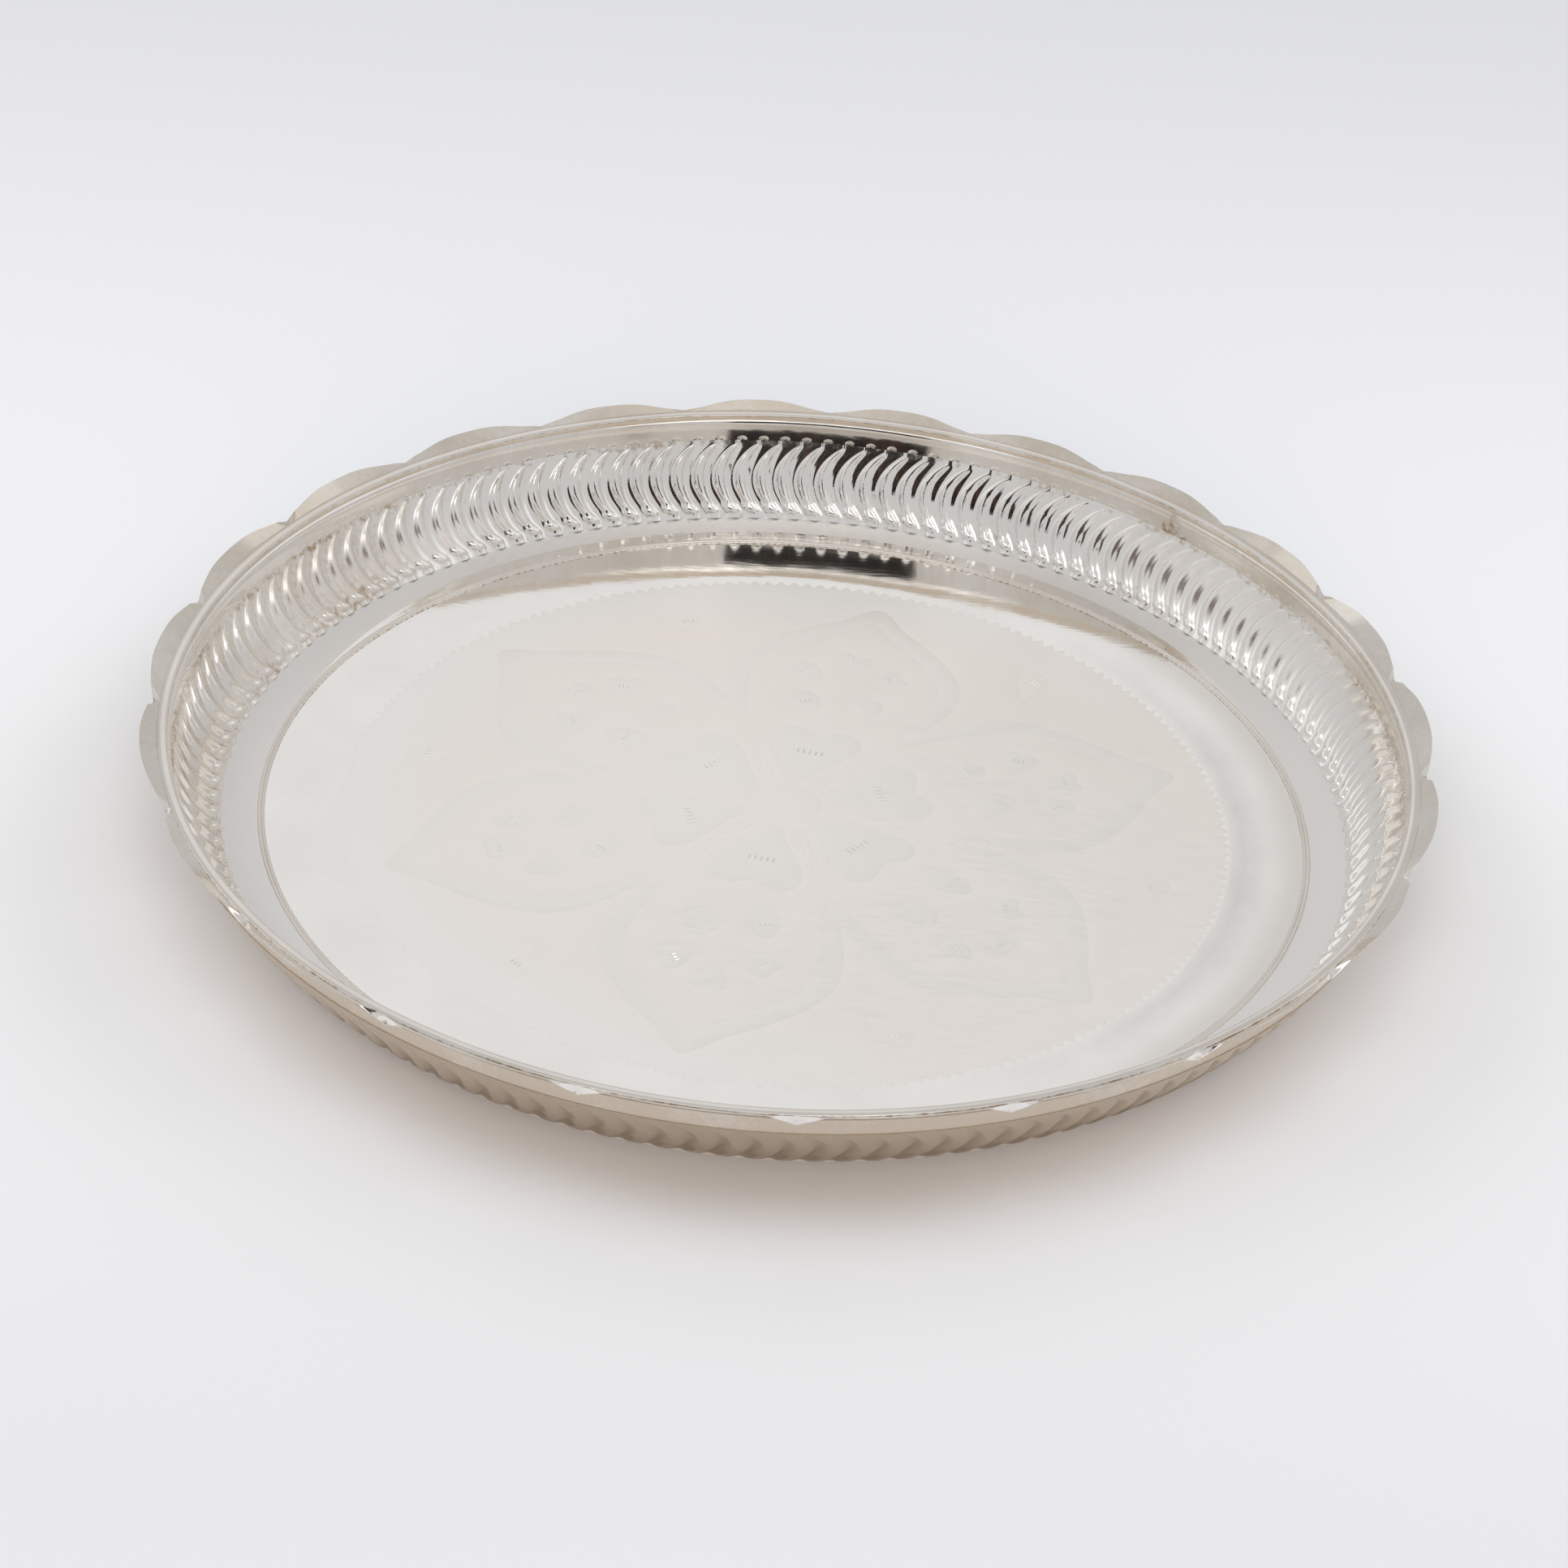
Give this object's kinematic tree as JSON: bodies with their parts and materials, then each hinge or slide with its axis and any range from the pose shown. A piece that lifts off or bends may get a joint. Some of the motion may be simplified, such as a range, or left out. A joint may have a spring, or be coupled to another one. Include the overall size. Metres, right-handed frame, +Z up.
{
  "type": "offering plate",
  "caption": "Round silver offering plate with a mirror floor, a reeded ring, a band of crescent flutes and a pinched, scalloped border.",
  "frame": {"origin": "below the middle of the floor, on the surface that the plate stands on", "axes": "+Z up out of the dish; -Y towards the side nearest the camera in the picture; +X to its right"},
  "size_m": [0.2786, 0.2767, 0.0254],
  "materials": {
    "floor_silver": "mirror floor with a satin engraved middle",
    "wall_silver": "hand-polished silver",
    "rim_silver": "hand-polished silver",
    "wire_silver": "bright silver wire"
  },
  "bodies": {
    "root": {"base_disc": "floor_silver", "floor_ring": "wire_silver", "fluted_band": "wall_silver", "rim_collar": "wall_silver", "rim_border": "rim_silver", "rim_wire": "wire_silver"}
  },
  "joints": []
}
